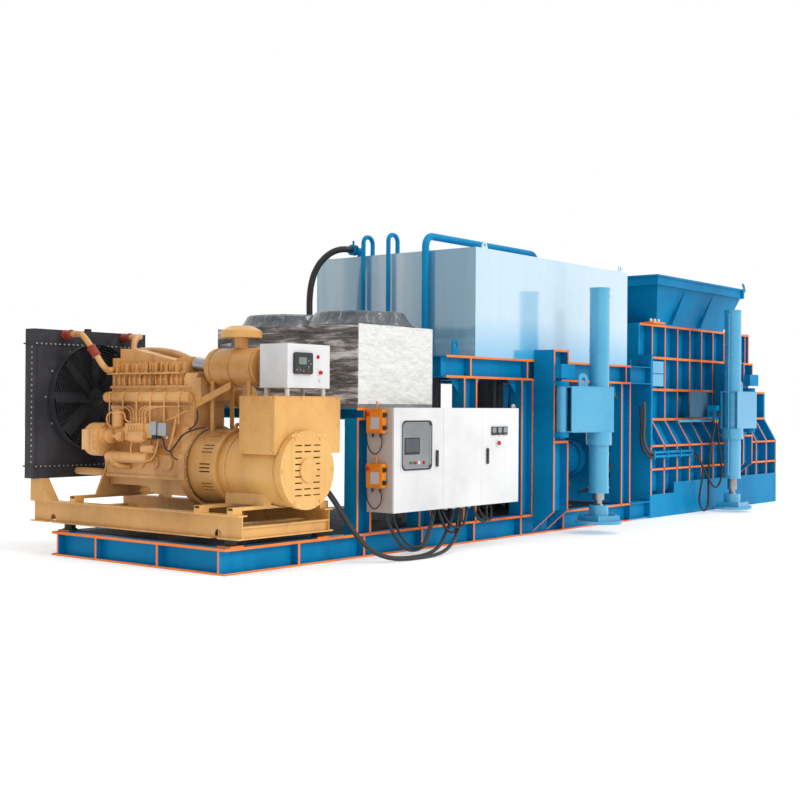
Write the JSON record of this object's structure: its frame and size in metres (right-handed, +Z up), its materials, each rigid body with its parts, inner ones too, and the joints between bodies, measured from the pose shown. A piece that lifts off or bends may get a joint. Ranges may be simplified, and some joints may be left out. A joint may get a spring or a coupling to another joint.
{
  "type": "mobile box scrap shear",
  "caption": "Diesel-powered mobile scrap shear: generator set, cooler, tank and cabinet frame joined to a hopper-fed shear box on swing-out jack legs.",
  "frame": {"origin": "on the ground under the middle of both modules, on the underside of the middle base beam", "axes": "+X along the machine from the generator set to the discharge end, +Y from the cabinet side to the far side, +Z up"},
  "size_m": [13.26, 4.3082, 3.793],
  "materials": {
    "blue_paint": "gloss enamel, orange on the plate edges",
    "ochre_paint": "satin enamel",
    "black_paint": "satin enamel",
    "black_rubber": "matt",
    "bare_steel": "machined",
    "ram_steel": "worn plate",
    "galvanised": "galvanised sheet",
    "film": "thin clear film, wrinkled",
    "white_paint": "powder coat",
    "grey_gear": "satin",
    "black_plastic": "satin",
    "green_plastic": "gloss",
    "red_plastic": "gloss",
    "orange_plastic": "satin"
  },
  "bodies": {
    "machine": {"base_frame": "blue_paint", "deck_plate": "blue_paint", "power_frame": "blue_paint", "module_links": "blue_paint", "leg_mounts": "blue_paint", "genset_skid": "ochre_paint", "skid_mounts": "black_rubber", "engine_block": "ochre_paint", "engine_pipes": "ochre_paint", "coolant_hoses": "ochre_paint", "air_filter": "ochre_paint", "radiator": "black_paint", "alternator": "ochre_paint", "alternator_cover": "ochre_paint", "terminal_box": "ochre_paint", "control_box": "white_paint", "drive_belt": "black_rubber", "cooler_case": "galvanised", "cooler_film": "film", "cabinet_case": "white_paint", "cabinet_gear": "grey_gear", "door_mid": "white_paint", "radio_receivers": "orange_plastic", "power_cables": "black_rubber", "tank": "blue_paint", "tank_pipes": "blue_paint", "pump_sets": "black_paint", "valve_block": "grey_gear", "main_cylinder": "blue_paint", "fixed_blades": "bare_steel", "box_walls": "blue_paint", "box_plates": "blue_paint", "box_frames": "blue_paint", "hopper": "blue_paint", "wall_pipes": "blue_paint", "hydraulic_hoses": "black_rubber"},
    "crank_rotor": {"crank_rotor": "bare_steel"},
    "engine_fan": {"engine_fan": "black_paint"},
    "cooler_fan": {"cooler_fan": "black_paint"},
    "door_left": {"door_left": "white_paint"},
    "door_right": {"door_right": "white_paint"},
    "handle_left": {"handle_left": "black_plastic"},
    "handle_right": {"handle_right": "black_plastic"},
    "start_button": {"start_button": "green_plastic"},
    "stop_button": {"stop_button": "red_plastic"},
    "genset_estop": {"genset_estop": "red_plastic"},
    "ram": {"ram_slide": "ram_steel", "ram_blades": "bare_steel"},
    "leg_arm_1": {"leg_arm_1": "blue_paint"},
    "leg_rod_1": {"leg_rod_1": "bare_steel"},
    "leg_foot_1": {"leg_foot_1": "blue_paint"},
    "leg_arm_2": {"leg_arm_2": "blue_paint"},
    "leg_rod_2": {"leg_rod_2": "bare_steel"},
    "leg_foot_2": {"leg_foot_2": "blue_paint"},
    "leg_arm_3": {"leg_arm_3": "blue_paint"},
    "leg_rod_3": {"leg_rod_3": "bare_steel"},
    "leg_foot_3": {"leg_foot_3": "blue_paint"},
    "leg_arm_4": {"leg_arm_4": "blue_paint"},
    "leg_rod_4": {"leg_rod_4": "bare_steel"},
    "leg_foot_4": {"leg_foot_4": "blue_paint"}
  },
  "joints": [
    {"name": "crank_spin", "type": "hinge", "parent": "machine", "child": "crank_rotor", "pos_m": [-5.83, 0.185, 0.985], "axis": [0, 1, 0], "continuous": true},
    {"name": "fan_spin", "type": "hinge", "parent": "machine", "child": "engine_fan", "pos_m": [-5.83, 1.385, 1.69], "axis": [0, 1, 0], "continuous": true},
    {"name": "cooler_fan_spin", "type": "hinge", "parent": "machine", "child": "cooler_fan", "pos_m": [-4.0475, -0.7825, 2.5], "axis": [0, 0, 1], "continuous": true},
    {"name": "door_left_hinge", "type": "hinge", "parent": "machine", "child": "door_left", "pos_m": [-4.586, -1.715, 1.045], "axis": [0, 0, -1], "range_deg": [0, 110]},
    {"name": "door_right_hinge", "type": "hinge", "parent": "machine", "child": "door_right", "pos_m": [-2.201, -1.715, 1.045], "axis": [0, 0, 1], "range_deg": [0, 110]},
    {"name": "handle_left_turn", "type": "hinge", "parent": "door_left", "child": "handle_left", "pos_m": [-3.84055, -1.715, 1.0576], "axis": [0, 1, 0], "range_deg": [0, 90]},
    {"name": "handle_right_turn", "type": "hinge", "parent": "door_right", "child": "handle_right", "pos_m": [-2.86568, -1.715, 1.0576], "axis": [0, 1, 0], "range_deg": [0, 90]},
    {"name": "start_button_press", "type": "slide", "parent": "door_left", "child": "start_button", "axis": [0, 1, 0], "range_m": [0, 0.005], "stiffness_N_per_m": 900},
    {"name": "stop_button_press", "type": "slide", "parent": "door_left", "child": "stop_button", "axis": [0, 1, 0], "range_m": [0, 0.005], "stiffness_N_per_m": 900},
    {"name": "estop_press", "type": "slide", "parent": "machine", "child": "genset_estop", "axis": [0, 1, 0], "range_m": [0, 0.005], "stiffness_N_per_m": 1200},
    {"name": "ram_stroke", "type": "slide", "parent": "machine", "child": "ram", "axis": [1, 0, 0], "range_m": [0, 2.8]},
    {"name": "leg_swing_1", "type": "hinge", "parent": "machine", "child": "leg_arm_1", "pos_m": [-1.15, -1.675, 1.59], "axis": [0, 0, 1], "range_deg": [-74, 16]},
    {"name": "leg_stroke_1", "type": "slide", "parent": "leg_arm_1", "child": "leg_rod_1", "axis": [0, 0, -1], "range_m": [0, 1.6]},
    {"name": "foot_tilt_1", "type": "hinge", "parent": "leg_rod_1", "child": "leg_foot_1", "pos_m": [-0.52518, -1.85416, 0.316], "axis": [0.2756, 0.9613, 0], "range_deg": [-8, 8]},
    {"name": "leg_swing_2", "type": "hinge", "parent": "machine", "child": "leg_arm_2", "pos_m": [4.64, -1.675, 1.59], "axis": [0, 0, 1], "range_deg": [0, 90]},
    {"name": "leg_stroke_2", "type": "slide", "parent": "leg_arm_2", "child": "leg_rod_2", "axis": [0, 0, -1], "range_m": [0, 1.6]},
    {"name": "foot_tilt_2", "type": "hinge", "parent": "leg_rod_2", "child": "leg_foot_2", "pos_m": [3.99, -1.675, 0.234], "axis": [0, -1, 0], "range_deg": [-8, 8]},
    {"name": "leg_swing_3", "type": "hinge", "parent": "machine", "child": "leg_arm_3", "pos_m": [-1.15, 1.675, 1.59], "axis": [0, 0, 1], "range_deg": [-16, 74]},
    {"name": "leg_stroke_3", "type": "slide", "parent": "leg_arm_3", "child": "leg_rod_3", "axis": [0, 0, -1], "range_m": [0, 1.6]},
    {"name": "foot_tilt_3", "type": "hinge", "parent": "leg_rod_3", "child": "leg_foot_3", "pos_m": [-0.52518, 1.85416, 0.316], "axis": [-0.2756, 0.9613, 0], "range_deg": [-8, 8]},
    {"name": "leg_swing_4", "type": "hinge", "parent": "machine", "child": "leg_arm_4", "pos_m": [4.64, 1.675, 1.59], "axis": [0, 0, 1], "range_deg": [-90, 0]},
    {"name": "leg_stroke_4", "type": "slide", "parent": "leg_arm_4", "child": "leg_rod_4", "axis": [0, 0, -1], "range_m": [0, 1.6]},
    {"name": "foot_tilt_4", "type": "hinge", "parent": "leg_rod_4", "child": "leg_foot_4", "pos_m": [3.99, 1.675, 0.234], "axis": [0, -1, 0], "range_deg": [-8, 8]}
  ],
  "couplings": [
    {"joint": "fan_spin", "follows": "crank_spin", "ratio": 1.2381}
  ]
}
